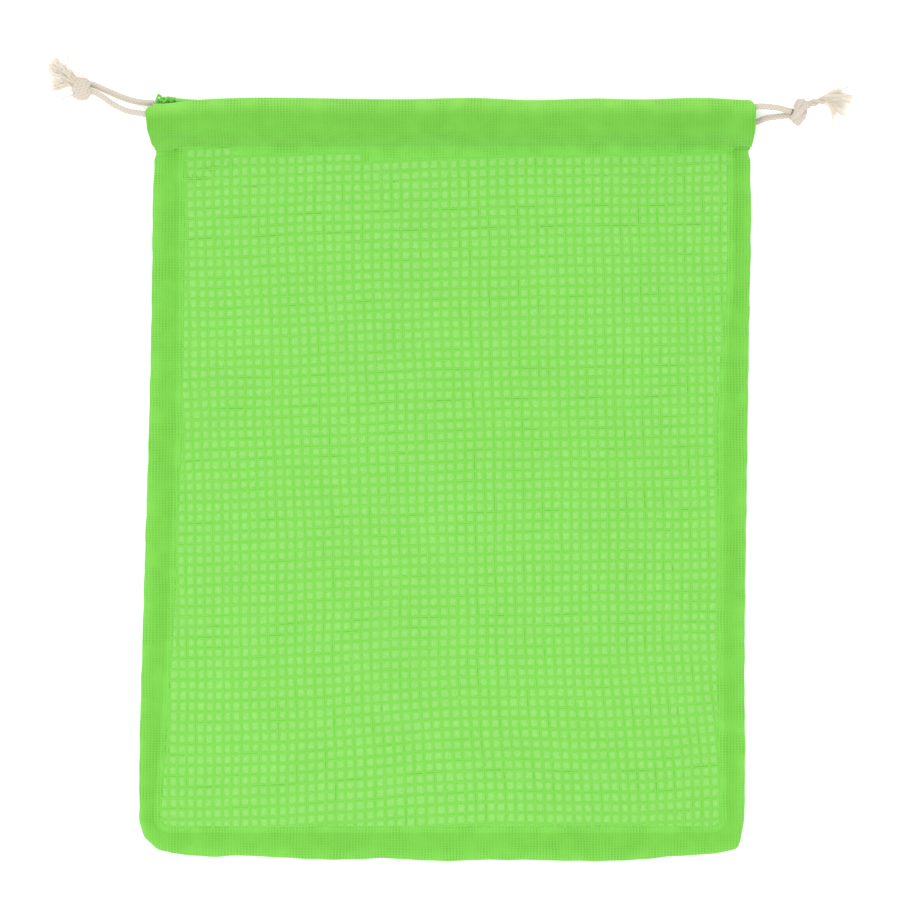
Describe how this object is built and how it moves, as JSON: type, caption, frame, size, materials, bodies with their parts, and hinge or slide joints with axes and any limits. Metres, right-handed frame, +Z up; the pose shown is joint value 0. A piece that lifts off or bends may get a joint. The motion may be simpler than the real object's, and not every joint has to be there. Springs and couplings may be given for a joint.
{
  "type": "produce bag",
  "caption": "Flat cotton produce bag with an open-weave front, a plain-woven back, a folded drawcord hem and knotted cotton cords with frayed ends.",
  "frame": {"origin": "on the surface that the bag lies on, under the middle of the outline of its cloth", "axes": "+Z up out of the open-weave front, +Y from the bottom seam to the mouth, +X to the right as the front is looked down on"},
  "size_m": [0.337, 0.3346, 0.0086],
  "materials": {
    "lime_cloth": "matte plain-woven cotton dyed lime green, with a fine even weave and soft creases",
    "lime_weave": "matte open weave of soft lime-green cotton yarns in small square cells",
    "natural_cotton": "undyed matte cotton cord with a twisted lay, frayed at its ends"
  },
  "bodies": {
    "root": {"back_panel": "lime_cloth", "side_border_left": "lime_cloth", "side_border_right": "lime_cloth", "bottom_border": "lime_cloth", "back_hem": "lime_cloth", "front_hem": "lime_cloth", "front_net": "lime_weave", "drawcord_left": "natural_cotton", "drawcord_right": "natural_cotton", "knot_left": "natural_cotton", "knot_right": "natural_cotton", "tassel_left": "natural_cotton", "tassel_left_side": "natural_cotton", "tassel_right": "natural_cotton"}
  },
  "joints": []
}
